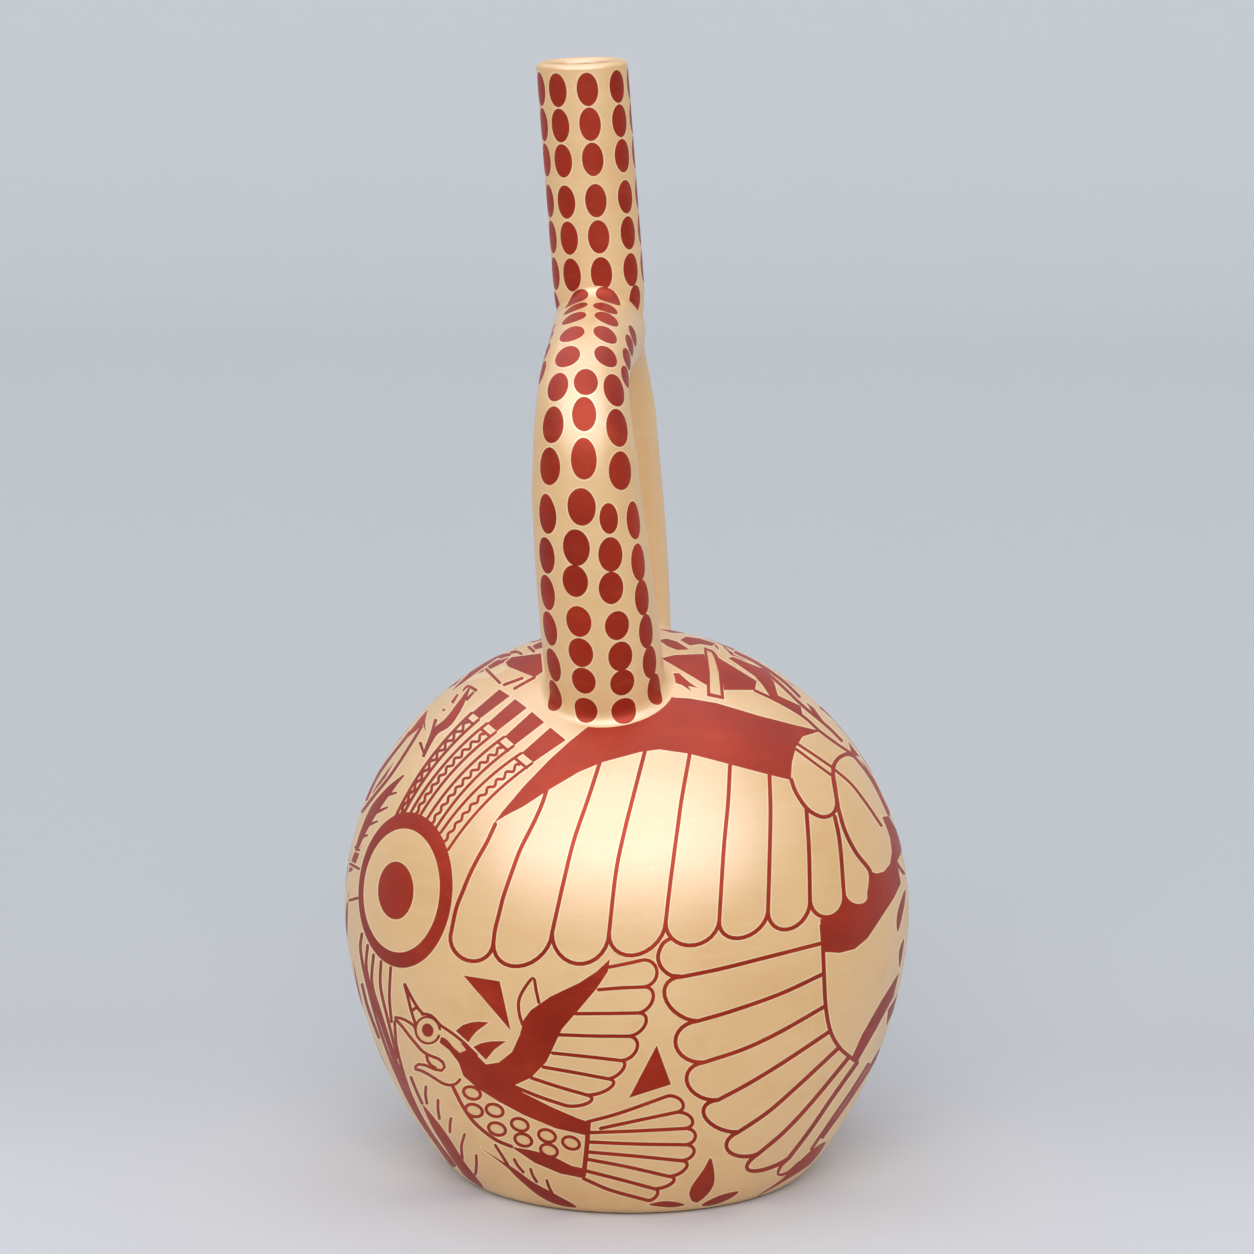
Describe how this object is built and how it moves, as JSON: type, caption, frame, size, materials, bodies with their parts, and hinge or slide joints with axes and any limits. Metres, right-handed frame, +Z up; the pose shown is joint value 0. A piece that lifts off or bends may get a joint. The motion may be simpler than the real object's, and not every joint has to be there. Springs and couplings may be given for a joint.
{
  "type": "stirrup-spout bottle",
  "caption": "Hollow fired-clay bottle: a round belly on a flat base, an arched hollow handle, and a straight spout on the arch's crown.",
  "frame": {"origin": "on the ground, in the middle of the bottle's bounding box", "axes": "+Z up through the spout; the arch stands in the YZ plane; -Y is the painted front"},
  "size_m": [0.152, 0.152, 0.3],
  "materials": {
    "clay": "polished cream slip over fired clay, painted with fine lines in dark red slip"
  },
  "bodies": {
    "root": {"bottle": "clay"}
  },
  "joints": []
}
